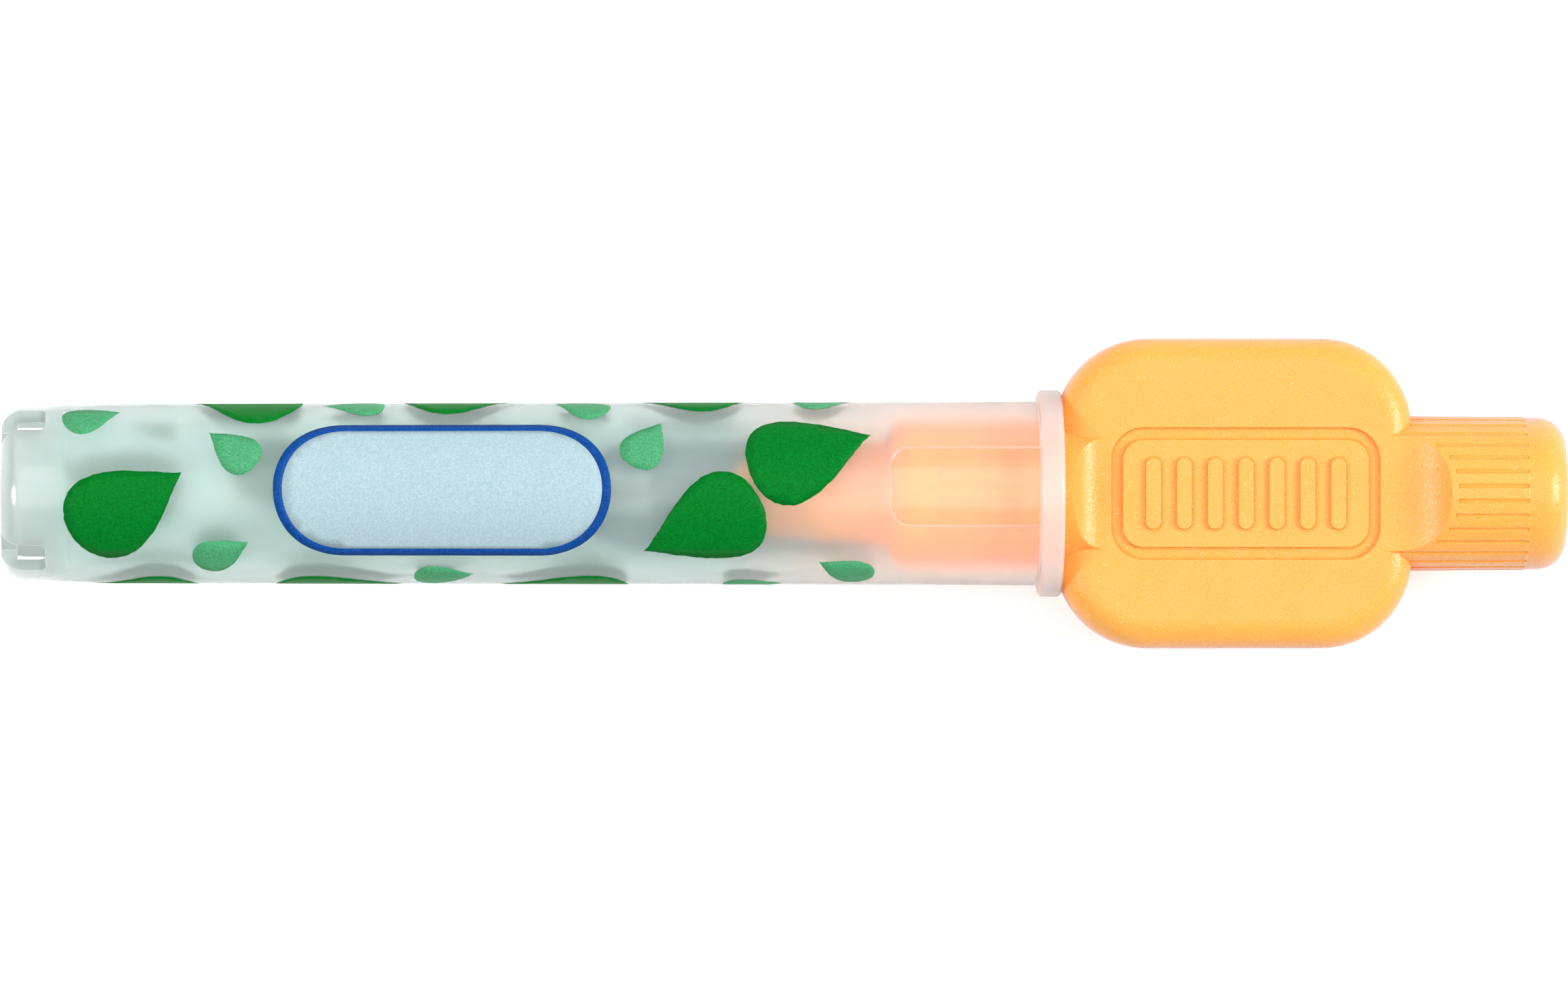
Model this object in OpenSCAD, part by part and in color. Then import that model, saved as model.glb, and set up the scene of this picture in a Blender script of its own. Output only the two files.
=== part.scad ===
// Interdental brush with its travel cap pushed on, lying as it would on a table.
// The closed end of the cap points to -X, the handle to +X, and the plate faces up.
// The origin lies under the middle of the whole length, on the surface it rests on.
// Millimetres throughout.

/* [Cap] */
// Length of the cap from its closed end to its mouth
cap_l = 65.25; // [60:0.01:72]
// Outer diameter of the cap at its closed end
cap_end_d = 10.83; // [10.4:0.01:11.2]
// Outer diameter of the cap where the plain tube begins
cap_body_d = 11; // [10.8:0.01:11.3]
// Outer diameter of the cap at its mouth, under the collar
cap_mouth_d = 11.38; // [11.2:0.01:12]
// Outer diameter of the cap where the tube starts to widen towards its mouth
cap_waist_d = 11.22; // [10.9:0.01:11.3]
// Length of that wider stretch, up to the mouth
cap_flare_l = 9.2; // [5:0.1:12]
// Bore of the cap at its closed end
cap_bore_end_d = 9.06; // [8.6:0.01:9.4]
// Bore of the cap at its mouth
cap_bore_mouth_d = 9.58; // [9.3:0.01:9.9]
// Thickness of the closed end
cap_end_t = 1; // [0.6:0.1:2]
// Rounding of the closed end's outer corner
cap_end_r = 1.4; // [0.8:0.05:1.8]
// Length of the straight zone that holds the vents
cap_end_zone_l = 4; // [3.6:0.1:6]
// Length over which the tube widens behind that zone
cap_shoulder_l = 2.4; // [1:0.1:8]
// How far the cap stands turned on its seat, window towards +Y, in degrees
cap_turn = 5; // [-45:1:45]

/* [Collar] */
// Outer diameter of the collar at the cap's mouth
collar_d = 12.74; // [12.2:0.01:14]
// Width of the collar along the cap
collar_l = 1.45; // [1:0.01:3]
// Rounding of the collar's outer edges
collar_edge_r = 0.3; // [0.1:0.05:0.4]

/* [Window recess] */
// Length of the thinned window, measured from the collar
window_l = 9.22; // [5:0.01:14]
// Width of the thinned window
window_w = 4.8; // [3:0.1:6]
// Rounding of the window's two corners
window_corner_r = 1.2; // [0.5:0.1:1.4]
// Depth of the window below the outer surface
window_depth = 0.4; // [0.2:0.05:0.6]

/* [Vents] */
// Length of each drying vent from the closed end
vent_l = 2.75; // [2:0.05:3.4]
// Width of each vent
vent_w = 2.3; // [1.5:0.1:2.6]
// Angle of the vents to either side of the top and of the bottom, in degrees
vent_angle = 53.5; // [45:0.5:60]
// Distance from the axis to the floor of a vent
vent_floor_h = 3.6; // [3.2:0.1:4]
// Rounding of a vent's inner corners
vent_corner_r = 0.4; // [0.1:0.1:0.7]

/* [Plate] */
// Length of the gripping plate along the handle
plate_l = 21.86; // [18:0.01:28]
// Width of the plate
plate_w = 19.1; // [17:0.1:24]
// Thickness of the plate
plate_t = 6.35; // [5.5:0.05:7.5]
// Radius of the plate's corners, seen from above
plate_corner_r = 5.6; // [4:0.1:7]
// Rounding along the plate's edges
plate_edge_r = 1.8; // [1:0.1:2.4]
// How much of the plate's near edge the cap's seat takes off
plate_tuck = 0.29; // [0.2:0.01:0.8]

/* [Grip field] */
// Length of the sunk frame on the plate
field_l = 16.6; // [12:0.1:18]
// How far the frame's middle lies from the plate's middle, away from the cap
field_offset = 0.6; // [0:0.1:0.8]
// Width of the sunk frame
field_w = 8.1; // [6:0.1:12]
// Outer corner radius of the sunk frame
field_corner_r = 2; // [1:0.1:3]
// Width of the frame's channel
channel_w = 0.74; // [0.4:0.01:1]
// Depth of the frame's channel
channel_depth = 0.22; // [0.1:0.01:0.5]
// Number of raised bars inside the frame
bar_count = 7; // [3:1:9]
// Length of a raised bar, across the plate
bar_l = 4.4; // [3:0.1:6]
// Width of a raised bar
bar_w = 0.9; // [0.5:0.1:1.2]
// Distance from one bar to the next
bar_pitch = 1.9; // [1.5:0.1:2]
// Height of a bar above the plate's face
bar_h = 0.2; // [0.1:0.05:0.4]

/* [Extension plug] */
// Length of the plug at the handle's free end, from the plate's edge
plug_l = 9.6; // [7:0.1:14]
// Radial clearance between the cap's mouth and the plug's ribs at the plate
plug_clear = 0.03; // [0.02:0.01:0.1]
// Draft of the plug: how much its radius falls towards the ribs' ends
plug_draft = 0.035; // [0.01:0.005:0.1]
// Length of the plain end beyond the ribs
plug_plain_l = 2.6; // [2.1:0.1:4]
// Rounding of the plug's end corner
plug_end_r = 1.75; // [1:0.05:2]
// Radius of the slight dome on the plug's end
plug_dome_r = 60; // [25:1:90]
// Radius of the scooped ramp from the plate up to the plug
plug_ramp_r = 4.35; // [3.5:0.05:5]
// Distance from the plate's edge back to the foot of that ramp
plug_ramp_back = 1.05; // [0.6:0.05:1.5]

/* [Seat plug] */
// Length of the plug that carries the cap, from the cap's mouth inwards
seat_l = 10.6; // [8:0.1:14]
// Radial clearance between the cap's bore and the seat's ribs
seat_clear = 0.05; // [0.02:0.01:0.1]
// Rounding of the seat's shoulder at the neck
seat_shoulder_r = 1.1; // [0.5:0.1:1.2]
// Distance from the cap's mouth to the near end of the seat's ribs
seat_rib_near = 2.45; // [1.5:0.05:3]
// Length of the seat's ribs
seat_rib_l = 5.1; // [3:0.1:6]
// Radius of the scooped ramp from the seat down to the plate
seat_ramp_r = 2.2; // [1.8:0.1:3]
// Distance from the cap's mouth to the foot of that ramp
seat_ramp_l = 2.7; // [2.2:0.1:4]

/* [Ribs] */
// Number of ribs around each plug
rib_count = 32; // [24:2:40]
// Height of the ribs over the plain plug
rib_h = 0.045; // [0.02:0.005:0.1]
// Depth of the grooves below the ribs' crests
groove_depth = 0.1; // [0.08:0.01:0.14]
// Radius of the grooves' round section
groove_r = 0.15; // [0.12:0.01:0.36]
// Length over which a rib's end falls to the plain plug
rib_fall = 0.1; // [0.1:0.05:0.6]
// Distance from the ramp's lip to the start of a groove
groove_lip = 0.4; // [0.2:0.05:0.8]

/* [Neck] */
// Length of the neck from the seat's shoulder to its tip
neck_l = 10; // [8:0.1:14]
// Diameter of the neck where its round tip begins
neck_tip_d = 5.2; // [4:0.1:5.6]
// Diameter of the neck at the seat's shoulder
neck_base_d = 6.6; // [5.8:0.1:6.8]

/* [Wire] */
// Diameter of the wire, which is folded in two and twisted
wire_d = 0.2; // [0.15:0.01:0.25]
// Length of one full twist of the pair
twist_pitch = 1.4; // [1.1:0.1:2]
// Depth to which the pair is set into the neck
wire_root_l = 5; // [3:0.5:7]
// Bare length of the pair between the neck and the bristles
wire_bare_l = 4.7; // [3:0.1:7]
// Length of the pair beyond the last bristle
wire_tip_l = 0.4; // [0.3:0.1:1]
// Radial clearance of the pair in the neck
wire_clear = 0.02; // [0.01:0.01:0.05]
// Rings in each twist of the wire
wire_rings = 8; // [8:1:12]

/* [Bristles] */
// Length of the bristled stretch
brush_l = 12; // [8:0.5:15]
// Diameter over the bristles' ends
brush_d = 2.8; // [2:0.1:4]
// Thickness of the filament layer between the two strands of wire
layer_t = 0.1; // [0.08:0.01:0.14]
// Bristles on each side of the layer
bristles_a_side = 200; // [150:10:240]
// Length of the tapered stretch at the brush's tip
brush_taper_l = 1.5; // [0.5:0.1:3]
// How far the bristles lean along the brush, in degrees
bristle_lean = 8; // [0:1:10]
// How often that lean swings to and fro along the brush
lean_waves = 6; // [1:1:8]

/* [Hidden] */
$fn = 96;

// One overrun for every cut that has to pass right through a surface
cut = 1;
// Clearance between the filament layer and the wire on each side of it
layer_clear = 0.005;
// Share of the full bristle length that is left at the brush's very tip
tip_length_share = 0.72;

// Places along the axis
total_l = cap_l - plate_tuck + plate_l + plug_l;
x_closed = -total_l / 2;
x_mouth = x_closed + cap_l;
x_plate = x_mouth - plate_tuck;
x_plate_end = x_plate + plate_l;
x_plug_end = x_plate_end + plug_l;
x_shoulder = x_mouth - seat_l;
x_neck_tip = x_shoulder - neck_l;
x_brush_end = x_neck_tip - wire_bare_l;
x_brush_tip = x_brush_end - brush_l;
x_wire_tip = x_brush_tip - wire_tip_l;
x_wire_root = x_neck_tip + wire_root_l;
x_plug_ramp = x_plate_end - plug_ramp_back;
x_seat_ramp = x_mouth + seat_ramp_l;

// Heights and radii
z_axis = collar_d / 2;
z_face = plate_t / 2;
plug_crest_r = cap_bore_mouth_d / 2 - plug_clear;
plug_tip_crest_r = plug_crest_r - plug_draft;
plug_band_r = plug_tip_crest_r - rib_h;
seat_crest_r = bore_r(cap_l - seat_rib_near - seat_rib_l) - seat_clear;
seat_r = seat_crest_r - rib_h;
neck_tip_r = neck_tip_d / 2;
neck_base_r = neck_base_d / 2;
pair_r = layer_t / 2 + wire_d / 2;
wire_hole_r = pair_r + wire_d / 2 + wire_clear;

// Radius of the cap's bore at a distance from the closed end
function bore_r(d) = (cap_bore_end_d + (cap_bore_mouth_d - cap_bore_end_d)
    * (d - cap_end_t) / (cap_l - cap_end_t)) / 2;

// Outer radius of the cap's tube at a distance from the closed end
function tube_r(d) = lookup(d, [[cap_end_zone_l + cap_shoulder_l, cap_body_d],
    [cap_l - cap_flare_l, cap_waist_d], [cap_l, cap_mouth_d]]) / 2;

// Puts a shape that stands on Z onto the brush's axis, at a place along X
module on_axis(x) {
    translate([x, 0, z_axis]) rotate([0, 90, 0]) children();
}

// A tongue: a rectangle from zero to l along X, its two far corners rounded
module tongue(l, w, r) {
    translate([0, -w / 2]) square([l - r, w]);
    translate([0, r - w / 2]) square([l, w - 2 * r]);
    for (side = [-1, 1]) translate([l - r, side * (w / 2 - r)]) circle(r);
}

// A rectangle centred on the origin with all four corners rounded
module round_rect(l, w, r) {
    square([l - 2 * r, w], center = true);
    square([l, w - 2 * r], center = true);
    for (sx = [-1, 1], sy = [-1, 1])
        translate([sx * (l / 2 - r), sy * (w / 2 - r)]) circle(r);
}

// Half section of the cap: radius across, distance from the closed end upwards
module cap_section() {
    difference() {
        union() {
            translate([cap_end_d / 2 - cap_end_r, cap_end_r]) circle(cap_end_r);
            polygon([[0, 0], [cap_end_d / 2 - cap_end_r, 0],
                [cap_end_d / 2 - cap_end_r, cap_end_r], [cap_end_d / 2, cap_end_r],
                [cap_end_d / 2, cap_end_zone_l],
                [cap_body_d / 2, cap_end_zone_l + cap_shoulder_l],
                [cap_waist_d / 2, cap_l - cap_flare_l],
                [cap_mouth_d / 2, cap_l], [0, cap_l]]);
            translate([0, cap_l - collar_l]) collar_section();
        }
        polygon([[-cut, cap_end_t], [cap_bore_end_d / 2, cap_end_t],
            [cap_bore_mouth_d / 2, cap_l], [cap_bore_mouth_d / 2, cap_l + cut],
            [-cut, cap_l + cut]]);
    }
}

// Half section of the collar, solid to the axis, with its two outer edges rounded
module collar_section() {
    square([collar_d / 2 - collar_edge_r, collar_l]);
    translate([0, collar_edge_r]) square([collar_d / 2, collar_l - 2 * collar_edge_r]);
    for (h = [collar_edge_r, collar_l - collar_edge_r])
        translate([collar_d / 2 - collar_edge_r, h]) circle(collar_edge_r);
}

// The window: a tongue from the collar, cut down to a floor that follows the tube
module window_cut() {
    d_collar = cap_l - collar_l;
    difference() {
        translate([x_closed + d_collar, 0, z_axis]) mirror([1, 0, 0])
            linear_extrude(height = collar_d) tongue(window_l, window_w, window_corner_r);
        on_axis(x_closed + d_collar - window_l - cut)
            cylinder(h = window_l + 2 * cut,
                r1 = tube_r(d_collar - window_l - cut) - window_depth,
                r2 = tube_r(d_collar + cut) - window_depth);
    }
}

// One vent, cut outwards from its floor through the closed end's corner
module vent_cut(turn) {
    translate([x_closed, 0, z_axis]) rotate([turn, 0, 0])
        translate([-cut, 0, vent_floor_h])
            linear_extrude(height = cap_end_d) tongue(vent_l + cut, vent_w, vent_corner_r);
}

// Travel cap: one clear moulding, a closed tube with a collar at its mouth
module travel_cap() {
    color([0.8, 0.87, 0.85, 0.5])
        translate([0, 0, z_axis]) rotate([-cap_turn, 0, 0]) translate([0, 0, -z_axis])
            difference() {
                on_axis(x_closed) rotate_extrude() cap_section();
                window_cut();
                for (turn = [vent_angle, 180 - vent_angle, 180 + vent_angle, -vent_angle])
                    vent_cut(turn);
            }
}

// Half section of a plate edge: w wide, full plate thickness, outer edges rounded
module edge_section(w) {
    translate([0, -z_face]) square([w - plate_edge_r, plate_t]);
    translate([0, plate_edge_r - z_face]) square([w, plate_t - 2 * plate_edge_r]);
    for (side = [-1, 1])
        translate([w - plate_edge_r, side * (z_face - plate_edge_r)]) circle(plate_edge_r);
}

// The gripping plate about its own centre: a block, four edge bars and four round corners
module plate_blank() {
    core_l = plate_l - 2 * plate_corner_r;
    core_w = plate_w - 2 * plate_corner_r;
    cube([core_l, core_w, plate_t], center = true);
    for (turn = [0, 180]) rotate([0, 0, turn]) {
        translate([core_l / 2, core_w / 2, 0]) rotate([90, 0, 0])
            linear_extrude(height = core_w) edge_section(plate_corner_r);
        translate([-core_l / 2, core_w / 2, 0]) rotate([90, 0, 90])
            linear_extrude(height = core_l) edge_section(plate_corner_r);
    }
    for (sx = [0, 1], sy = [0, 1]) mirror([sx, 0, 0]) mirror([0, sy, 0])
        translate([core_l / 2, core_w / 2, 0])
            rotate_extrude(angle = 90) edge_section(plate_corner_r);
}

// The sunk channel that frames the grip field
module channel_ring() {
    difference() {
        round_rect(field_l, field_w, field_corner_r);
        round_rect(field_l - 2 * channel_w, field_w - 2 * channel_w, field_corner_r - channel_w);
    }
}

// The raised bars in the frame, with round ends
module grip_bars() {
    for (i = [0 : bar_count - 1])
        translate([(i - (bar_count - 1) / 2) * bar_pitch, 0]) {
            square([bar_w, bar_l - bar_w], center = true);
            for (side = [-1, 1]) translate([0, side * (bar_l - bar_w) / 2]) circle(bar_w / 2);
        }
}

// The plate in its place, cut square at the cap's seat
module plate() {
    translate([(x_plate + x_plate_end) / 2, 0, z_axis]) difference() {
        plate_blank();
        translate([-plate_l / 2 - cut, -plate_w, -plate_t])
            cube([plate_tuck + cut, 2 * plate_w, 2 * plate_t]);
    }
}

// Puts a flat shape on both faces of the plate, from h below the face to rise above it
module on_faces(h, rise) {
    translate([(x_plate + x_plate_end) / 2, 0, z_axis])
        for (turn = [0, 180]) rotate([turn, 0, 0])
            translate([field_offset, 0, z_face - h])
                linear_extrude(height = h + rise) children();
}

// Clears a plug above and below the plate, with a scoop of radius r rising from foot x.
// side is 1 where the plug leaves towards +X, and -1 towards -X.
module ramp_cut(x, r, side) {
    reach = plate_corner_r + cut;
    for (turn = [0, 180]) translate([x, 0, z_axis]) rotate([turn, 0, 0]) {
        translate([0, 0, z_face + r]) rotate([90, 0, 0])
            cylinder(h = 2 * collar_d, r = r, center = true);
        translate([side > 0 ? -reach : 0, -collar_d, z_face])
            cube([reach, 2 * collar_d, collar_d]);
    }
}

// How far along X a scoop of radius r has climbed when it meets a plug's surface
function climb(r, plug_r, turn) =
    let (rise = min(r, plug_r * abs(cos(turn)) - z_face))
    rise > 0 ? sqrt(r * r - (r - rise) * (r - rise)) + groove_lip : 0;

// The grooves between the ribs, from x0 or past the ramp to x1, on a plug of crest radius r
module grooves(x0, x1, r, ramp_r) {
    for (i = [0 : rib_count - 1]) {
        turn = (i + 1 / 2) * 360 / rib_count;
        start = x0 + (ramp_r > 0 ? climb(ramp_r, r, turn) : 0);
        translate([start, 0, z_axis]) rotate([turn, 0, 0])
            translate([0, 0, r - groove_depth + groove_r]) rotate([0, 90, 0])
                cylinder(h = x1 - start, r = groove_r);
    }
}

// Half section of the extension plug, from inside the plate to its domed end
module plug_section() {
    l = x_plug_end - x_plate_end + plate_corner_r;
    rib_end = l - plug_plain_l;
    intersection() {
        union() {
            polygon([[0, 0], [plug_crest_r, 0], [plug_crest_r, plate_corner_r],
                [plug_tip_crest_r, rib_end], [plug_band_r, rib_end + rib_fall],
                [plug_band_r, l - plug_end_r], [plug_band_r - plug_end_r, l - plug_end_r],
                [plug_band_r - plug_end_r, l], [0, l]]);
            translate([plug_band_r - plug_end_r, l - plug_end_r]) circle(plug_end_r);
        }
        translate([0, l - plug_dome_r]) circle(plug_dome_r);
    }
}

// Extension plug: takes the cap when it serves as a longer handle
module extension_plug() {
    difference() {
        on_axis(x_plate_end - plate_corner_r) rotate_extrude() plug_section();
        ramp_cut(x_plug_ramp, plug_ramp_r, 1);
        grooves(x_plug_ramp, x_plug_end - plug_plain_l + rib_fall / 2,
            (plug_crest_r + plug_tip_crest_r) / 2, plug_ramp_r);
    }
}

// Half section of the seat and the neck, from the neck's round tip upwards
module seat_section() {
    rib_near = neck_l + seat_l - seat_rib_near;
    rib_far = rib_near - seat_rib_l;
    l = neck_l + seat_l + seat_ramp_l + cut;
    intersection() {
        translate([0, neck_tip_r]) circle(neck_tip_r);
        square(neck_tip_d);
    }
    polygon([[0, neck_tip_r], [neck_tip_r, neck_tip_r], [neck_base_r, neck_l],
        [seat_r - seat_shoulder_r, neck_l],
        [seat_r - seat_shoulder_r, neck_l + seat_shoulder_r],
        [seat_r, neck_l + seat_shoulder_r], [seat_r, rib_far - rib_fall],
        [seat_crest_r, rib_far], [seat_crest_r, rib_near],
        [seat_r, rib_near + rib_fall], [seat_r, l], [0, l]]);
    translate([seat_r - seat_shoulder_r, neck_l + seat_shoulder_r]) circle(seat_shoulder_r);
}

// Seat and neck: the plug that carries the cap, and the neck that holds the wire
module seat_and_neck() {
    difference() {
        on_axis(x_neck_tip) rotate_extrude() seat_section();
        ramp_cut(x_seat_ramp, seat_ramp_r, -1);
        grooves(x_mouth - seat_rib_near - seat_rib_l - rib_fall / 2,
            x_mouth - seat_rib_near + rib_fall / 2, seat_crest_r, 0);
        on_axis(x_neck_tip - cut) cylinder(h = wire_root_l + cut, r = wire_hole_r);
    }
}

// Handle: one moulding of plate, extension plug, seat and neck, with its grip field
module handle() {
    color([0.99, 0.75, 0.4]) {
        difference() {
            union() {
                plate();
                extension_plug();
                seat_and_neck();
            }
            on_faces(channel_depth, cut) channel_ring();
        }
        on_faces(bar_h, bar_h) grip_bars();
    }
}

// Angle of the wire pair around the axis at a place along X
function twist(x) = 360 * (x - x_wire_tip) / twist_pitch;

// Unit vector across the axis at an angle from +Y towards +Z
function across(a) = [0, cos(a), sin(a)];

// One ring of the wire: centre c, outward vector u, direction of travel t
wire_sides = 6;
function wire_ring(c, u, t) = let (v = cross(t, u) / norm(cross(t, u)))
    [for (k = [0 : wire_sides - 1]) let (a = 360 * k / wire_sides)
        c + wire_d / 2 * (cos(a) * u + sin(a) * v)];

// A strand's ring at x, on the side given by turn, travelling towards way times X
function strand_ring(x, turn, way) =
    let (a = twist(x) + turn, slope = 2 * PI * pair_r / twist_pitch)
    wire_ring([x, 0, z_axis] + pair_r * across(a), across(a),
        way * ([1, 0, 0] + slope * across(a + 90)));

// Twisted wire: one wire, folded at the brush's tip, its two halves wound round each other
module twisted_wire() {
    x_bend = x_wire_tip + pair_r + wire_d / 2;
    steps = ceil((x_wire_root - x_bend) / twist_pitch * wire_rings);
    step = (x_wire_root - x_bend) / steps;
    bend_steps = 5;
    a0 = twist(x_bend);
    rings = concat(
        [for (i = [0 : steps]) strand_ring(x_wire_root - i * step, 0, -1)],
        [for (i = [1 : bend_steps - 1]) let (b = 180 * i / bend_steps,
                u = cos(b) * across(a0) - sin(b) * [1, 0, 0],
                t = -sin(b) * across(a0) - cos(b) * [1, 0, 0])
            wire_ring([x_bend, 0, z_axis] + pair_r * u, u, t)],
        [for (i = [0 : steps]) strand_ring(x_bend + i * step, 180, 1)]);
    n = len(rings);
    s = wire_sides;
    points = [for (ring = rings) each ring];
    faces = concat(
        [for (i = [0 : n - 2], k = [0 : s - 1]) let (m = (k + 1) % s)
            each [[i * s + k, (i + 1) * s + k, (i + 1) * s + m],
                [i * s + k, (i + 1) * s + m, i * s + m]]],
        [[for (k = [0 : s - 1]) k]],
        [[for (k = [0 : s - 1]) (n - 1) * s + s - 1 - k]]);
    color([0.72, 0.74, 0.76]) polyhedron(points, faces);
}

// Bristles: filaments held in a thin layer between the two halves of the wire.
// The layer twists with the wire, and a three-sided bristle grows from each of its steps.
module bristles() {
    n = bristles_a_side;
    half_w = pair_r + wire_d / 2;
    half_t = layer_t / 2 - layer_clear;
    step = brush_l / n;
    corner_shares = [[1, -1], [1, 1], [-1, 1], [-1, -1]];
    layer_points = [for (i = [0 : n]) let (x = x_brush_tip + i * step, a = twist(x))
        each [for (c = corner_shares) [x, 0, z_axis]
            + c[0] * half_w * across(a + 90) + c[1] * half_t * across(a)]];
    bristle_points = [for (i = [0 : n - 1], side = [0, 1])
        let (x = x_brush_tip + i * step,
            taper = min(1, tip_length_share
                + (1 - tip_length_share) * (x - x_brush_tip) / brush_taper_l),
            reach = (brush_d / 2 - half_w) * taper,
            lean = bristle_lean * sin(360 * i / n * (lean_waves + side)),
            go = reach * (across(twist(x + step / 2) + 90 + 180 * side) + tan(lean) * [1, 0, 0]),
            b = 4 * i + 2 * side)
        each [for (p = [b, b + 4, b + 1]) layer_points[p] + go]];
    base = 4 * (n + 1);
    layer_faces = [for (i = [0 : n - 1]) let (b = 4 * i)
        each [[b + 1, b + 5, b + 6], [b + 1, b + 6, b + 2],
            [b + 3, b + 7, b + 4], [b + 3, b + 4, b],
            [b + 4, b + 5, b + 1], [b + 6, b + 7, b + 3]]];
    bristle_faces = [for (i = [0 : n - 1], side = [0, 1])
        let (b = 4 * i + 2 * side, root = [b, b + 4, b + 1], t = base + 3 * (2 * i + side))
        each concat([[t, t + 1, t + 2]],
            [for (k = [0 : 2]) let (m = (k + 1) % 3)
                each [[root[k], root[m], t + m], [root[k], t + m, t + k]]])];
    faces = concat(layer_faces, bristle_faces,
        [[0, 1, 2], [0, 2, 3]],
        [[4 * n, 4 * n + 2, 4 * n + 1], [4 * n, 4 * n + 3, 4 * n + 2]]);
    color([0.95, 0.95, 0.93]) polyhedron(concat(layer_points, bristle_points), faces);
}

travel_cap();
handle();
twisted_wire();
bristles();
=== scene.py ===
import math
import random

import bpy
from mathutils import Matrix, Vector, geometry


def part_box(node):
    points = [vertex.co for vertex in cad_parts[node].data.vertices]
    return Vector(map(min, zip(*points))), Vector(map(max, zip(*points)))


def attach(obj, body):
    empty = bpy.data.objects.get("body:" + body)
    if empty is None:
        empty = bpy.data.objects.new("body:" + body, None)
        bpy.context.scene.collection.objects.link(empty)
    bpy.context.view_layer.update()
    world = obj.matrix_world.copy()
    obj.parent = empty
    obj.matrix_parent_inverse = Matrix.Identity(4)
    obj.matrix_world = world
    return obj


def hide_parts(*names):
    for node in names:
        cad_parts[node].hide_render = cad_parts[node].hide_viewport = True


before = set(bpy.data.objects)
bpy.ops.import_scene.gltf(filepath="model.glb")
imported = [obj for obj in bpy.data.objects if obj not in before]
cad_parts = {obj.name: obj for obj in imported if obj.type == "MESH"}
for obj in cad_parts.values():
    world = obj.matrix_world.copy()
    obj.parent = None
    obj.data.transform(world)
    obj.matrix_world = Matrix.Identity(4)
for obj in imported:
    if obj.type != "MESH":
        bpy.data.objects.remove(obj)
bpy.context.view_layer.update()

# Camera
# A long lens looks down on the lying brush from 0.8 m above its axis, over the middle
# of the travel cap, with the closed end of the cap to the left.
MM = 0.001
cap_low, cap_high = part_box("travel_cap")
axis_z = (cap_low.z + cap_high.z) / 2
camera_x = -24 * MM
camera_height = 800 * MM
aim_x = -0.04 * MM
focal_length = 297.9
nearest, farthest = 0.05, 20
photo_camera = bpy.data.objects.new("photo_camera", bpy.data.cameras.new("photo_camera"))
bpy.context.scene.collection.objects.link(photo_camera)
bpy.context.scene.camera = photo_camera
photo_camera.location = (camera_x, 0, axis_z + camera_height)
photo_camera.rotation_euler = (0, -math.atan2(aim_x - camera_x, camera_height), 0)
photo_camera.data.lens = focal_length
photo_camera.data.clip_start = nearest
photo_camera.data.clip_end = farthest


# Table and studio light
# A matt white table under a white tent, brighter at the back. A wide softbox hangs
# overhead, a second stands over the cap's closed end, and a small one beyond the handle.
def linear(hex_code):
    """The linear colour, with alpha, of an sRGB hex value such as #FFCC66."""
    channels = [int(hex_code[i:i + 2], 16) / 255 for i in (1, 3, 5)]
    return [c / 12.92 if c <= 0.04045 else ((c + 0.055) / 1.055) ** 2.4 for c in channels] + [1]


def add_node(tree, kind, settings=(), links=()):
    """A shader node of a kind, with its settings by name and its inputs joined to outputs."""
    node = tree.nodes.new("ShaderNode" + kind)
    for name, value in dict(settings).items():
        if isinstance(name, str) and hasattr(node, name):
            setattr(node, name, value)
        else:
            node.inputs[name].default_value = value
    for name, output in dict(links).items():
        tree.links.new(output, node.inputs[name])
    return node


def new_material(name):
    """A material with an empty node tree, that tree, and its output's surface socket."""
    material = bpy.data.materials.new(name)
    material.use_nodes = True
    tree = material.node_tree
    tree.nodes.clear()
    return material, tree, add_node(tree, "OutputMaterial").inputs["Surface"]


def backdrop_rays(tree):
    """1 for rays that look at a backdrop: from the camera, off a gloss or through the cap."""
    path = add_node(tree, "LightPath")
    eye_or_gloss = add_node(tree, "Math", {"operation": "MAXIMUM"}, {
        0: path.outputs["Is Camera Ray"], 1: path.outputs["Is Glossy Ray"]})
    return add_node(tree, "Math", {"operation": "MAXIMUM"}, {
        0: eye_or_gloss.outputs[0], 1: path.outputs["Is Transmission Ray"]}).outputs[0]


tent_front, tent_back = 0.14, 0.62
tent = bpy.data.worlds.new("white_tent")
bpy.context.scene.world = tent
tent.use_nodes = True
tree = tent.node_tree
tree.nodes.clear()
towards = add_node(tree, "SeparateXYZ", {}, {0: add_node(tree, "TexCoord").outputs["Generated"]})
tent_light = add_node(tree, "MapRange", {
    "From Min": -1, "To Min": tent_front, "To Max": tent_back}, {"Value": towards.outputs[1]})
tent_strength = add_node(tree, "MapRange", {"To Max": 1.0}, {
    "Value": backdrop_rays(tree), "To Min": tent_light.outputs[0]})
tent_cloth = add_node(tree, "Background", {"Color": linear("#FFFFFF")}, {
    "Strength": tent_strength.outputs[0]})
add_node(tree, "OutputWorld", {}, {"Surface": tent_cloth.outputs[0]})
bpy.context.scene.view_settings.view_transform = "Standard"

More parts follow.
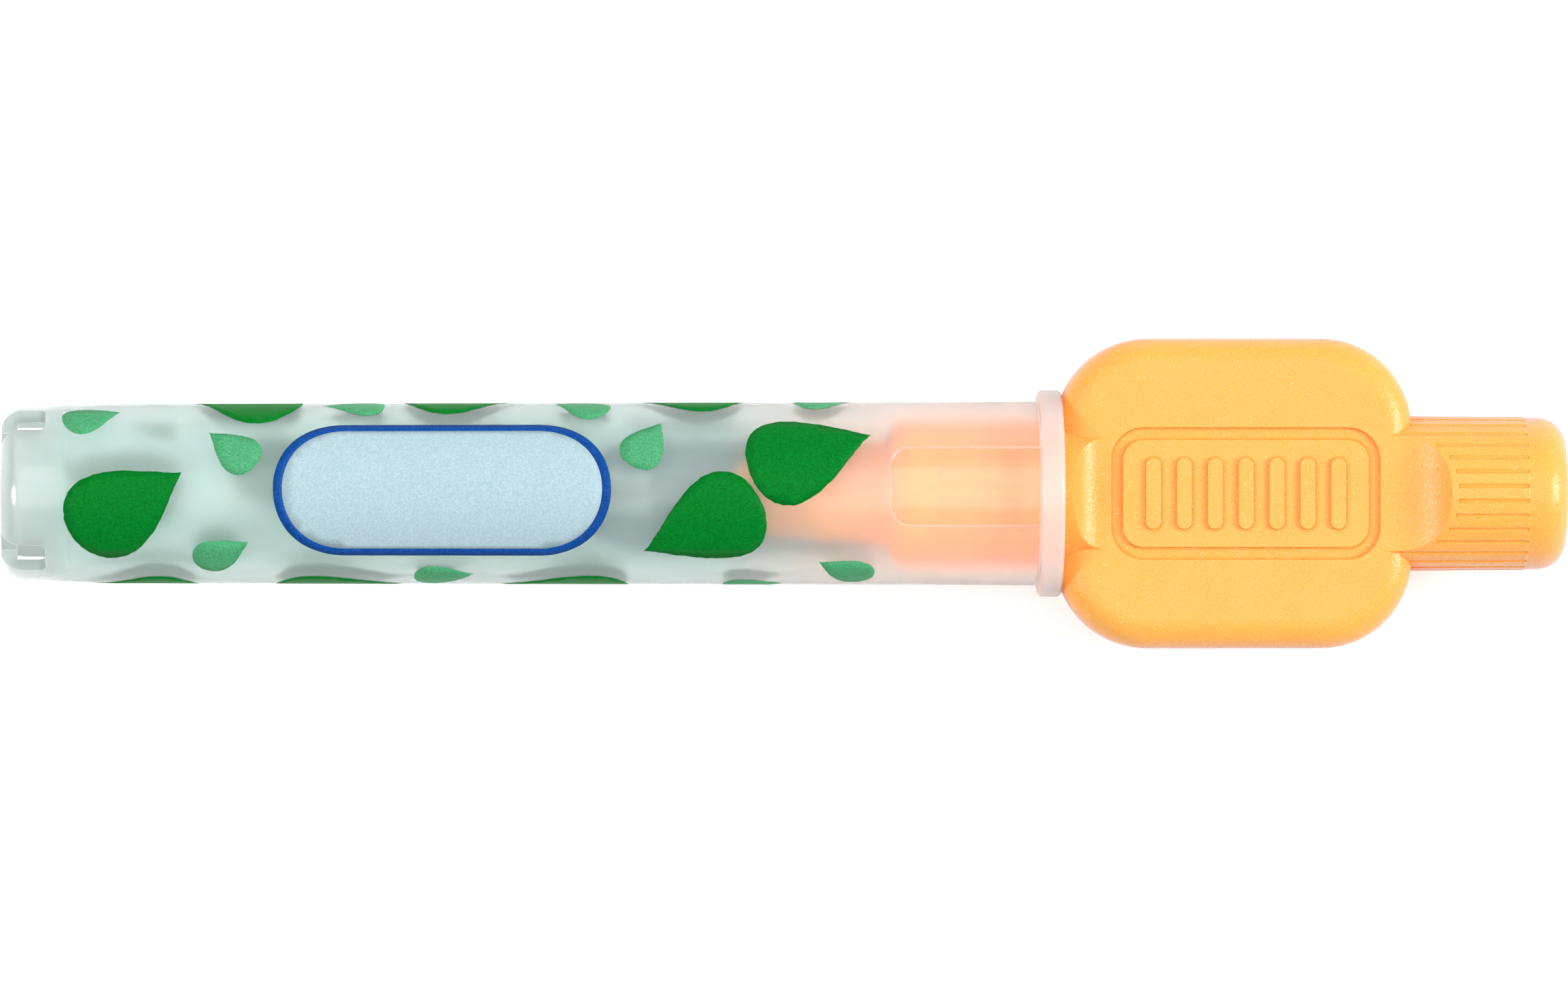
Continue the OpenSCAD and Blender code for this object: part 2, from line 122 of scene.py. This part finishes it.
table_glow = 0.46
fibre_width = 1.5 * MM
table_paint, tree, surface = new_material("matt_white_paper")
place = add_node(tree, "TexCoord").outputs["Object"]
fibre = add_node(tree, "TexNoise", {"Scale": 1 / fibre_width, "Detail": 3}, {"Vector": place})
tone = add_node(tree, "Mix", {"data_type": "RGBA", 6: linear("#DEDEDE"), 7: linear("#E6E6E6")}, {
    0: fibre.outputs["Fac"]})
matt = add_node(tree, "BsdfDiffuse", {}, {"Color": tone.outputs[2]})
glow_strength = add_node(tree, "Math", {"operation": "MULTIPLY", 1: table_glow}, {
    0: backdrop_rays(tree)})
glow = add_node(tree, "Emission", {"Color": linear("#FFFFFF")}, {
    "Strength": glow_strength.outputs[0]})
paper = add_node(tree, "AddShader", {}, {0: matt.outputs[0], 1: glow.outputs[0]})
tree.links.new(paper.outputs[0], surface)

table_half = 4.0
table_mesh = bpy.data.meshes.new("table")
table_mesh.from_pydata([(-table_half, -table_half, 0), (table_half, -table_half, 0),
                        (table_half, table_half, 0), (-table_half, table_half, 0)],
                       [], [(0, 1, 2, 3)])
table_mesh.materials.append(table_paint)
table = bpy.data.objects.new("table", table_mesh)
bpy.context.scene.collection.objects.link(table)

# Each softbox: place and size in metres, and power in watts
softboxes = {
    "overhead_softbox": ((0.0, 0.18, 1.15), (1.2, 1.2), 5.6),
    "cap_softbox": ((-0.80, -0.04, 0.74), (0.28, 0.26), 5.0),
    "handle_softbox": ((0.95, 0.08, 0.50), (0.30, 0.38), 9.2),
}
for name, (spot, size, watts) in softboxes.items():
    lamp = bpy.data.lights.new(name, "AREA")
    lamp.shape = "RECTANGLE"
    lamp.size, lamp.size_y = size
    lamp.energy = watts
    softbox = bpy.data.objects.new(name, lamp)
    softbox.location = spot
    softbox.rotation_euler = Vector(spot).to_track_quat("Z", "Y").to_euler()
    softbox.visible_camera = False
    bpy.context.scene.collection.objects.link(softbox)


# Handle
# One injection moulding in soft orange polypropylene: plate, plug, seat and neck.
# The mould is finely spark-eroded, which gives a satin skin; its fine sparkle is painted
# highlight, pale specks on the grain. The orange is painted deeper in crevices and hollows, as
# painted shade for the light that passes from wall to wall. The grain and its painted sparkle
# specks are drawn a little coarser than the real ones, so that they show
grain_width = 0.17 * MM
grain_depth = 0.035 * MM
painted_glint_width = 0.14 * MM
painted_glint_share = 0.4
painted_crevice_width = 0.22 * MM
painted_hollow_reach = 7.0 * MM
painted_hollow_shade_share = 0.6
hollow_roughness = 0.4
mottle_width = 3.0 * MM
edge_rounding = 0.1 * MM
rough_grain, smooth_grain = 0.36, 0.26
satin_pp, tree, surface = new_material("satin_polypropylene")
place = add_node(tree, "TexCoord").outputs["Object"]
grain = add_node(tree, "TexNoise", {"Scale": 1 / grain_width, "Detail": 2, "Roughness": 0.6}, {
    "Vector": place})
mottle = add_node(tree, "TexNoise", {"Scale": 1 / mottle_width, "Detail": 2}, {"Vector": place})
tone = add_node(tree, "Mix", {"data_type": "RGBA", 6: linear("#FFAC43"), 7: linear("#FFB34D")}, {
    0: mottle.outputs["Fac"]})
# Painted shade: the orange turns deeper in narrow crevices, by ambient occlusion, for the light
# that passes from wall to wall there
painted_crevice_occlusion = add_node(tree, "AmbientOcclusion", {"samples": 8, "Distance": painted_crevice_width})
painted_crevice_shade = add_node(tree, "MapRange", {"From Min": 0.95, "From Max": 0.55}, {
    "Value": painted_crevice_occlusion.outputs["AO"]})
painted_crevice_tone = add_node(tree, "Mix", {"data_type": "RGBA", 7: linear("#FFA026")}, {
    0: painted_crevice_shade.outputs[0], 6: tone.outputs[2]})
# Painted shade: a deeper orange in wide hollows, such as by the collar, by ambient occlusion; the
# same mask makes the hollows rougher
painted_hollow_occlusion = add_node(tree, "AmbientOcclusion", {"samples": 8, "Distance": painted_hollow_reach})
painted_hollow_shade_and_roughness = add_node(tree, "MapRange", {"From Min": 0.97, "From Max": 0.5, "To Max": painted_hollow_shade_share}, {
    "Value": painted_hollow_occlusion.outputs["AO"]})
painted_hollow_tone = add_node(tree, "Mix", {"data_type": "RGBA", 7: linear("#FF9218")}, {
    0: painted_hollow_shade_and_roughness.outputs[0], 6: painted_crevice_tone.outputs[2]})
# Painted highlights: pale specks on the grain stand for the sparkle of the skin
painted_glint_noise = add_node(tree, "TexNoise", {"Scale": 1 / painted_glint_width, "Detail": 1}, {"Vector": place})
painted_glint_mask = add_node(tree, "MapRange", {"From Min": 0.6, "From Max": 0.78, "To Max": painted_glint_share}, {
    "Value": painted_glint_noise.outputs["Fac"]})
painted_glint_tone = add_node(tree, "Mix", {"data_type": "RGBA", 7: linear("#FFE3A6")}, {
    0: painted_glint_mask.outputs[0], 6: painted_hollow_tone.outputs[2]})
skin = add_node(tree, "Bump", {"Distance": grain_depth}, {"Height": grain.outputs["Fac"]})
soft_edges = add_node(tree, "Bevel", {"samples": 6, "Radius": edge_rounding}, {
    "Normal": skin.outputs[0]})
satin = add_node(tree, "MapRange", {
    "From Min": 0.35, "From Max": 0.65, "To Min": rough_grain, "To Max": smooth_grain,
}, {"Value": grain.outputs["Fac"]})
gloss = add_node(tree, "Math", {"operation": "MULTIPLY_ADD", 1: hollow_roughness}, {
    0: painted_hollow_shade_and_roughness.outputs[0], 2: satin.outputs[0]})
plastic = add_node(tree, "BsdfPrincipled", {
    "IOR": 1.49,
    "Subsurface Weight": 0.3,
    "Subsurface Radius": (1.0, 0.4, 0.15),
    "Subsurface Scale": 0.4 * MM,
    "Sheen Weight": 0.3,
    "Sheen Roughness": 0.4,
    "Sheen Tint": linear("#D8A0FF"),
}, {
    "Base Color": painted_glint_tone.outputs[2],
    "Roughness": gloss.outputs[0],
    "Normal": soft_edges.outputs[0],
})
tree.links.new(plastic.outputs[0], surface)
for used_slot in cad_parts["handle"].material_slots:
    used_slot.material = satin_pp


# Twisted wire
# One stainless steel wire, folded at the brush's tip, its two halves wound round each
# other and set into the neck. Its drawn surface has fine scratches along it.
def new_piece(name, points, faces, material, body, stands_for=()):
    """A smooth mesh piece, riding on a body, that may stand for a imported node."""
    mesh = bpy.data.meshes.new(name)
    mesh.from_pydata(points, [], faces)
    mesh.materials.append(material)
    mesh.shade_smooth()
    piece = bpy.data.objects.new(name, mesh)
    bpy.context.scene.collection.objects.link(piece)
    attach(piece, body)
    if stands_for:
        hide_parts(*stands_for)


def sweep(path, radius, sides, points, faces):
    """Adds a closed round tube along a path to a piece's points and faces."""
    first = len(points)
    side = None
    for i, centre in enumerate(path):
        ahead = path[min(i + 1, len(path) - 1)] - path[max(i - 1, 0)]
        side = ahead.orthogonal() if side is None else side - side.project(ahead)
        side.normalize()
        up = ahead.normalized().cross(side)
        for k in range(sides):
            turn = math.tau * k / sides
            points.append(centre + radius * (math.cos(turn) * side + math.sin(turn) * up))
    for i in range(len(path) - 1):
        a = first + i * sides
        for k in range(sides):
            m = (k + 1) % sides
            faces.append((a + k, a + m, a + sides + m, a + sides + k))
    last = first + (len(path) - 1) * sides
    faces.append(tuple(first + k for k in reversed(range(sides))))
    faces.append(tuple(last + k for k in range(sides)))


def across(turn):
    """The unit vector across the brush's axis, at an angle from +Y towards +Z."""
    return Vector((0, math.cos(turn), math.sin(turn)))


wire_low, wire_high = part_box("twisted_wire")
wire_radius = 0.1 * MM
pair_radius = 0.15 * MM
twist_pitch = 1.4 * MM
wire_tip = wire_low.x
bend_x = wire_tip + pair_radius + wire_radius
wire_steps = 480
wire_sides = 12
bend_steps = 10


def wire_turn(x):
    """Angle of the wire pair around the axis at a place along X."""
    return math.tau * (x - wire_tip) / twist_pitch


def strand_point(x, half_turn):
    """A point on the middle of one of the wire's two halves."""
    return Vector((x, 0, axis_z)) + pair_radius * across(wire_turn(x) + half_turn)


stretch = [bend_x + (wire_high.x - bend_x) * i / wire_steps for i in range(wire_steps + 1)]
fold = [Vector((bend_x - pair_radius * math.sin(math.pi * i / bend_steps), 0, axis_z))
        + pair_radius * math.cos(math.pi * i / bend_steps) * across(wire_turn(bend_x))
        for i in range(1, bend_steps)]
wire_path = [strand_point(x, 0) for x in reversed(stretch)] + fold
wire_path += [strand_point(x, math.pi) for x in stretch]
wire_points, wire_faces = [], []
sweep(wire_path, wire_radius, wire_sides, wire_points, wire_faces)

# The scratches are drawn coarser than the real ones, so that they show
scratch_width = 0.03 * MM
scratch_length = 0.3 * MM
steel, tree, surface = new_material("drawn_stainless_steel")
place = add_node(tree, "TexCoord").outputs["Object"]
drawn = add_node(tree, "Mapping", {"Scale": (scratch_width / scratch_length, 1, 1)}, {
    "Vector": place})
scratches = add_node(tree, "TexNoise", {"Scale": 1 / scratch_width, "Detail": 3}, {
    "Vector": drawn.outputs[0]})
tone = add_node(tree, "Mix", {"data_type": "RGBA", 6: linear("#A9ABAE"), 7: linear("#C6C8CB")}, {
    0: scratches.outputs["Fac"]})
gloss = add_node(tree, "MapRange", {"To Min": 0.22, "To Max": 0.42}, {
    "Value": scratches.outputs["Fac"]})
metal = add_node(tree, "BsdfPrincipled", {"Metallic": 1}, {
    "Base Color": tone.outputs[2], "Roughness": gloss.outputs[0]})
tree.links.new(metal.outputs[0], surface)
new_piece("wound_wire", wire_points, wire_faces, steel, "brush", ["twisted_wire"])


# Bristles
# White nylon filaments laid across the wire before it was wound, so that they stand out
# in two rows that wind with it, trimmed round and a little shorter at the tip.
brush_low, brush_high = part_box("bristles")
brush_reach = (brush_high.z - brush_low.z) / 2
filament_count = 720
filament_radius = 0.03 * MM
filament_steps = 4
filament_sides = 4
end_margin = 4 * filament_radius
taper_length = 1.5 * MM
tip_share = 0.72
shortest, longest = 0.955, 0.995
bow_share = 0.06
fan_degrees = 8
lean_degrees = 7
batch_width = 0.4 * MM
dice = random.Random(7)
bristle_points, bristle_faces = [], []
for i in range(filament_count):
    x = brush_low.x + end_margin + (brush_high.x - brush_low.x - 2 * end_margin) * (
        i + dice.random()) / filament_count
    from_tip = (x - brush_low.x) / taper_length
    trimmed = brush_reach * min(1, tip_share + (1 - tip_share) * from_tip)
    for half_turn in (0, math.pi):
        turn = wire_turn(x) + math.pi / 2 + half_turn + math.radians(dice.gauss(0, fan_degrees))
        lean = math.tan(math.radians(dice.uniform(-lean_degrees, lean_degrees)))
        reach = trimmed * dice.uniform(shortest, longest)
        bow = dice.uniform(-bow_share, bow_share) * reach
        path = []
        for step in range(filament_steps + 1):
            share = step / filament_steps
            out = reach * share
            slip = lean * out + bow * share * share
            at = min(max(x + slip, brush_low.x), brush_high.x)
            path.append(Vector((at, 0, axis_z)) + out * across(turn))
        sweep(path, filament_radius, filament_sides, bristle_points, bristle_faces)

nylon, tree, surface = new_material("nylon_filament")
place = add_node(tree, "TexCoord").outputs["Object"]
batch = add_node(tree, "TexNoise", {"Scale": 1 / batch_width, "Detail": 2}, {"Vector": place})
tone = add_node(tree, "Mix", {"data_type": "RGBA", 6: linear("#E8EAE6"), 7: linear("#F6F6F2")}, {
    0: batch.outputs["Fac"]})
filament = add_node(tree, "BsdfPrincipled", {
    "IOR": 1.53,
    "Roughness": 0.35,
    "Subsurface Weight": 0.5,
    "Subsurface Radius": (1.0, 1.0, 1.0),
    "Subsurface Scale": 0.3 * MM,
}, {"Base Color": tone.outputs[2]})
tree.links.new(filament.outputs[0], surface)
new_piece("nylon_bristles", bristle_points, bristle_faces, nylon, "brush", ["bristles"])


# Travel cap
# One clear injection moulding in random-copolymer polypropylene, a little milky. Its colour is a
# painted tint of the light that the prints and
# the handle throw into the wall: green-blue at the prints, a darker green-grey at the closed end
# and warm at the mouth. The tube is satin, the window and the closed end are polished, edges, end
# and collar hold more milk, and the wall lets lamplight through.
polish_end = cap_low.x + 2.6 * MM
polish_fade = 1.6 * MM
prints_end = -4.0 * MM
prints_fade = 10.0 * MM
cap_edge = 0.12 * MM
collar_start = cap_high.x - 1.45 * MM
window_start = collar_start - 9.22 * MM
window_side = 2.4 * MM
window_fade = 0.3 * MM
tube_frost, window_frost = 0.24, 0.07
edge_clearness, wall_clearness = 0.45, 0.84
thick_clearness = 0.7
milk_reach = 8 * MM
clear_pp, tree, surface = new_material("milky_clear_polypropylene")
place = add_node(tree, "TexCoord").outputs["Object"]
along = add_node(tree, "SeparateXYZ", {}, {0: place})
# A painted tint stands for the light that the prints and the handle throw into the wall: green-blue
# at the prints, warm towards the mouth, and a darker green-grey at the closed end
painted_warmth_share = add_node(tree, "MapRange", {
    "From Min": prints_end, "From Max": prints_end + prints_fade}, {"Value": along.outputs[0]})
painted_light_tint = add_node(tree, "Mix", {"data_type": "RGBA", 6: linear("#DDEDE8"), 7: linear("#FFF2E8")}, {
    0: painted_warmth_share.outputs[0]})
polish = add_node(tree, "MapRange", {
    "From Min": polish_end, "From Max": polish_end + polish_fade, "To Min": 1, "To Max": 0,
}, {"Value": along.outputs[0]})
painted_light_tint_with_end = add_node(tree, "Mix", {"data_type": "RGBA", 7: linear("#CBD7D3")}, {
    0: polish.outputs[0], 6: painted_light_tint.outputs[2]})
off_middle = add_node(tree, "Math", {"operation": "ABSOLUTE"}, {0: along.outputs[1]})
in_window = add_node(tree, "MapRange", {
    "From Min": window_side, "From Max": window_side - window_fade}, {
    "Value": off_middle.outputs[0]})
for value, rim, inner in ((along.outputs[0], window_start, window_start + window_fade),
                          (along.outputs[0], collar_start, collar_start - window_fade),
                          (along.outputs[2], axis_z, axis_z + window_fade)):
    past_rim = add_node(tree, "MapRange", {"From Min": rim, "From Max": inner}, {"Value": value})
    in_window = add_node(tree, "Math", {"operation": "MINIMUM"}, {
        0: in_window.outputs[0], 1: past_rim.outputs[0]})
frost = add_node(tree, "MapRange", {"To Min": tube_frost, "To Max": window_frost}, {
    "Value": in_window.outputs[0]})
soft_edges = add_node(tree, "Bevel", {"samples": 8, "Radius": cap_edge})
flat = add_node(tree, "NewGeometry").outputs["Normal"]
agree = add_node(tree, "VectorMath", {"operation": "DOT_PRODUCT"}, {
    0: soft_edges.outputs[0], 1: flat})
clearness = add_node(tree, "MapRange", {
    "From Min": 0.86, "From Max": 0.985, "To Min": edge_clearness, "To Max": wall_clearness,
}, {"Value": agree.outputs["Value"]})
in_collar = add_node(tree, "MapRange", {
    "From Min": collar_start - cap_edge, "From Max": collar_start}, {"Value": along.outputs[0]})
thick = add_node(tree, "Math", {"operation": "MAXIMUM"}, {
    0: polish.outputs[0], 1: in_collar.outputs[0]})
thick_milk = add_node(tree, "MapRange", {"To Min": 1.0, "To Max": thick_clearness}, {
    "Value": thick.outputs[0]})
let_through = add_node(tree, "Math", {"operation": "MULTIPLY"}, {
    0: clearness.outputs[0], 1: thick_milk.outputs[0]})
wall = add_node(tree, "BsdfPrincipled", {
    "IOR": 1.49,
    "Subsurface Weight": 1.0,
    "Subsurface Radius": (1.0, 0.9, 0.8),
    "Subsurface Scale": milk_reach,
    "Subsurface Anisotropy": 0.8,
    "Coat Roughness": 0.06,
}, {
    "Base Color": painted_light_tint_with_end.outputs[2],
    "Roughness": frost.outputs[0],
    "Normal": soft_edges.outputs[0],
    "Transmission Weight": let_through.outputs[0],
    "Coat Weight": polish.outputs[0],
})
shade = add_node(tree, "Mix", {"data_type": "RGBA", 6: linear("#EDF0EF"), 7: linear("#B8B8B8")}, {
    0: in_collar.outputs[0]})
lamplight = add_node(tree, "BsdfTransparent", {}, {"Color": shade.outputs[2]})
is_shadow = add_node(tree, "LightPath").outputs["Is Shadow Ray"]
lit_wall = add_node(tree, "MixShader", {}, {
    0: is_shadow, 1: wall.outputs[0], 2: lamplight.outputs[0]})
tree.links.new(lit_wall.outputs[0], surface)
for used_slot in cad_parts["travel_cap"].material_slots:
    used_slot.material = clear_pp


# Prints on the cap
# Screen-printed inks on the outside of the tube: drops in two sizes, scattered all round,
# and a bare pale panel with a blue border on the front and on the back.
# The ink is opaque, with a fine mottle from the screen.
def inside(point, outline):
    """True if a point lies within an outline, both on the flat artwork."""
    x, y = point
    crossings = 0
    for a, b in zip(outline, outline[1:] + outline[:1]):
        if (a[1] > y) != (b[1] > y) and x < a[0] + (b[0] - a[0]) * (y - a[1]) / (b[1] - a[1]):
            crossings += 1
    return crossings % 2 == 1


def filled(outline, spacing):
    """Points and faces that fill an outline with a net fine enough to bend round the tube."""
    left, right = min(p[0] for p in outline), max(p[0] for p in outline)
    bottom, top = min(p[1] for p in outline), max(p[1] for p in outline)
    rim = [Vector(p) for p in outline]
    net = list(rim)
    for i in range(int((right - left) / spacing)):
        for j in range(int((top - bottom) / spacing)):
            p = Vector((left + (i + 0.5) * spacing, bottom + (j + 0.5) * spacing))
            if inside(p, outline) and min((p - q).length for q in rim) > spacing / 2:
                net.append(p)
    border = list(range(len(outline)))
    points, _, faces, _, _, _ = geometry.delaunay_2d_cdt(net, [], [border], 1, spacing / 1000)
    return [tuple(p) for p in points], [tuple(f) for f in faces]


def ring(outer, inner):
    """Points and faces of the band between two outlines that have as many points."""
    count = len(outer)
    faces = [(k, (k + 1) % count, count + (k + 1) % count, count + k) for k in range(count)]
    return outer + inner, faces


def drop(length, width, lean):
    """Outline, in mm, of a plain drop, pointed at one end, leaning on the flat artwork."""
    tilt = math.radians(lean)
    outline = []
    for k in range(drop_points):
        t = math.tau * k / drop_points
        x = length / 2 * math.cos(t) + dice.uniform(-ragged, ragged)
        y = width / 2 * belly * math.sin(t) * math.sin(t / 2) ** sharpness
        y += dice.uniform(-ragged, ragged)
        outline.append((x * math.cos(tilt) - y * math.sin(tilt),
                        x * math.sin(tilt) + y * math.cos(tilt)))
    return outline


def pill(length, width, inset):
    """Outline, in mm, of a long panel with round ends, drawn in by an inset."""
    radius = width / 2 - inset
    half = length / 2 - width / 2
    outline = []
    for k in range(pill_points):
        turn = math.tau * k / pill_points
        outline.append((math.copysign(half, math.cos(turn)) + radius * math.cos(turn),
                        radius * math.sin(turn)))
    return outline


def lay_on_cap(name, artwork, x, turn, ink, lift):
    """Wraps flat artwork round the cap's tube at x and a turn from the top, as a thin film."""
    flat_points, flat_faces = artwork
    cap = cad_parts["travel_cap"]
    lower, upper = [], []
    for along_tube, round_tube in flat_points:
        angle = math.pi / 2 - math.radians(turn) - round_tube * MM / tube_radius
        outward = across(angle)
        start = Vector(((x + along_tube) * MM, 0, axis_z)) + outward * tube_radius * 2
        _, spot, _, _ = cap.ray_cast(start, -outward)
        lower.append(spot + outward * lift)
        upper.append(spot + outward * (lift + ink_thickness))
    count = len(lower)
    edges = {}
    for face in flat_faces:
        for a, b in zip(face, face[1:] + face[:1]):
            edges[(a, b)] = (b, a) not in edges
            if not edges[(a, b)]:
                edges[(b, a)] = False
    faces = [tuple(count + k for k in face) for face in flat_faces]
    faces += [tuple(reversed(face)) for face in flat_faces]
    faces += [(a, b, count + b, count + a) for (a, b), open_edge in edges.items() if open_edge]
    new_piece(name, lower + upper, faces, ink, "cap", ())


def new_ink(name, dark, pale, smooth, rough):
    """An opaque screen ink, finely mottled between two tones and two roughnesses."""
    ink, tree, surface = new_material(name)
    place = add_node(tree, "TexCoord").outputs["Object"]
    specks = add_node(tree, "TexNoise", {
        "Scale": 1 / speck_width, "Detail": 2, "Roughness": 0.7}, {"Vector": place})
    mottled = add_node(tree, "MapRange", {"From Min": 0.35, "From Max": 0.7}, {
        "Value": specks.outputs["Fac"]})
    tone = add_node(tree, "Mix", {"data_type": "RGBA", 6: linear(dark), 7: linear(pale)}, {
        0: mottled.outputs[0]})
    gloss = add_node(tree, "MapRange", {"To Min": smooth, "To Max": rough}, {
        "Value": specks.outputs["Fac"]})
    wrinkle = add_node(tree, "Bump", {"Strength": 0.4, "Distance": wrinkle_depth}, {
        "Height": specks.outputs["Fac"]})
    film = add_node(tree, "BsdfPrincipled", {"IOR": 1.5, "Specular IOR Level": 0.05}, {
        "Base Color": tone.outputs[2], "Roughness": gloss.outputs[0], "Normal": wrinkle.outputs[0]})
    tree.links.new(film.outputs[0], surface)
    return ink


tube_radius = 5.55 * MM
ink_thickness = 0.012 * MM
# Each kind of print has its own lift off the tube, so that no two films share a face
big_drop_lift, small_drop_lift, panel_lift = 0.018 * MM, 0.0252 * MM, 0.0324 * MM
speck_width = 0.12 * MM
wrinkle_depth = 0.01 * MM
green = new_ink("green_screen_ink", "#00691A", "#028430", 0.35, 0.6)
pale_green = new_ink("thin_green_screen_ink", "#3A9A66", "#62B07E", 0.35, 0.6)
blue = new_ink("blue_screen_ink", "#063C86", "#1A57A6", 0.3, 0.5)
pale_blue = new_ink("pale_blue_screen_ink", "#A0BCC4", "#B8CED6", 0.3, 0.5)

# The flat artwork is in mm
big_length, big_width = 7.9, 6.2
small_length, small_width = 3.7, 2.9
belly, sharpness = 1.3, 1.4
ragged = 0.03
drop_points = 90
panel_length, panel_width, border_width = 20.7, 8.9, 0.55
pill_points = 120
net_spacing = 0.55

# Each drop: place along X in mm, turn round the tube and lean on the artwork in degrees
big_drops = [
    (-40.4, -8, 32), (-5.2, -22, 205), (1.4, 27, 18),
    (-33.6, 88, 150), (-19.5, 97, 20), (-6.5, 100, 160),
    (-40.0, -100, 190), (-27.4, -93, 12), (-13.6, -92, 170),
    (-41.2, 172, 200), (-30.2, 165, 20), (-19.8, 192, 165),
]
small_drops = [
    (-34.0, 30, 140), (-34.6, -42, 30), (-42.6, 58, 20), (-8.6, 34, 60), (-26.5, 74, 175),
    (-12.6, 72, 150), (2.4, 84, 20), (-21.0, -66, 10), (3.6, -58, 150), (-2.0, -84, 15),
    (-38.6, 118, 60), (-24.6, 132, 100), (-35.0, -136, 80), (-13.8, 128, 10),
]
for i, (x, turn, lean) in enumerate(big_drops):
    artwork = filled(drop(big_length, big_width, lean), net_spacing)
    lay_on_cap(f"big_drop_{i + 1}", artwork, x, turn, green, big_drop_lift)
for i, (x, turn, lean) in enumerate(small_drops):
    artwork = filled(drop(small_length, small_width, lean), net_spacing)
    lay_on_cap(f"small_drop_{i + 1}", artwork, x, turn, pale_green, small_drop_lift)

# Each panel: place along X in mm and turn round the tube in degrees
panels = {"front": (-21.15, 3), "back": (-2.4, 183)}
border_out = pill(panel_length, panel_width, 0)
border_in = pill(panel_length, panel_width, border_width)
for side, (x, turn) in panels.items():
    lay_on_cap(side + "_panel", filled(border_in, net_spacing), x, turn, pale_blue, panel_lift)
    lay_on_cap(side + "_border", ring(border_out, border_in), x, turn, blue, panel_lift)
